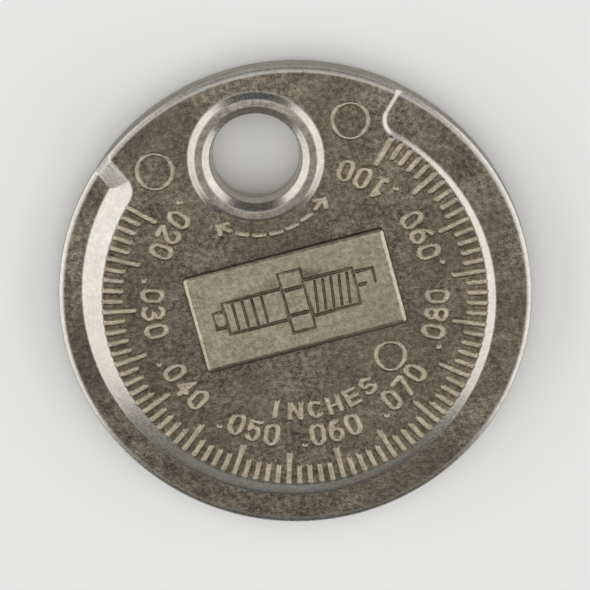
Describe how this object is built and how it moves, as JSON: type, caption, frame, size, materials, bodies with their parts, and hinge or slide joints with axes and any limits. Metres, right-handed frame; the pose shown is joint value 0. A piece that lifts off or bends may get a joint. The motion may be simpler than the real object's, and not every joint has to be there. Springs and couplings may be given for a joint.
{
  "type": "spark plug gap gauge",
  "caption": "Coin-shaped die-cast disc whose rim lip thickens steadily round a raised scale, for reading and bending the gap of a spark plug, with a hole for a key ring.",
  "frame": {"origin": "on the ground under the middle of the disc, at the level of the back's pad and ring", "axes": "+Z out of the front face, with the inch scale; +Y from the middle of the disc towards the key-ring hole"},
  "size_m": [0.036, 0.036, 0.0039],
  "materials": {
    "plated_zinc": "nickel-plated zinc die casting, fine grained field with a brighter pad, ring and edges"
  },
  "bodies": {
    "root": {"gauge_disc": "plated_zinc"}
  },
  "joints": []
}
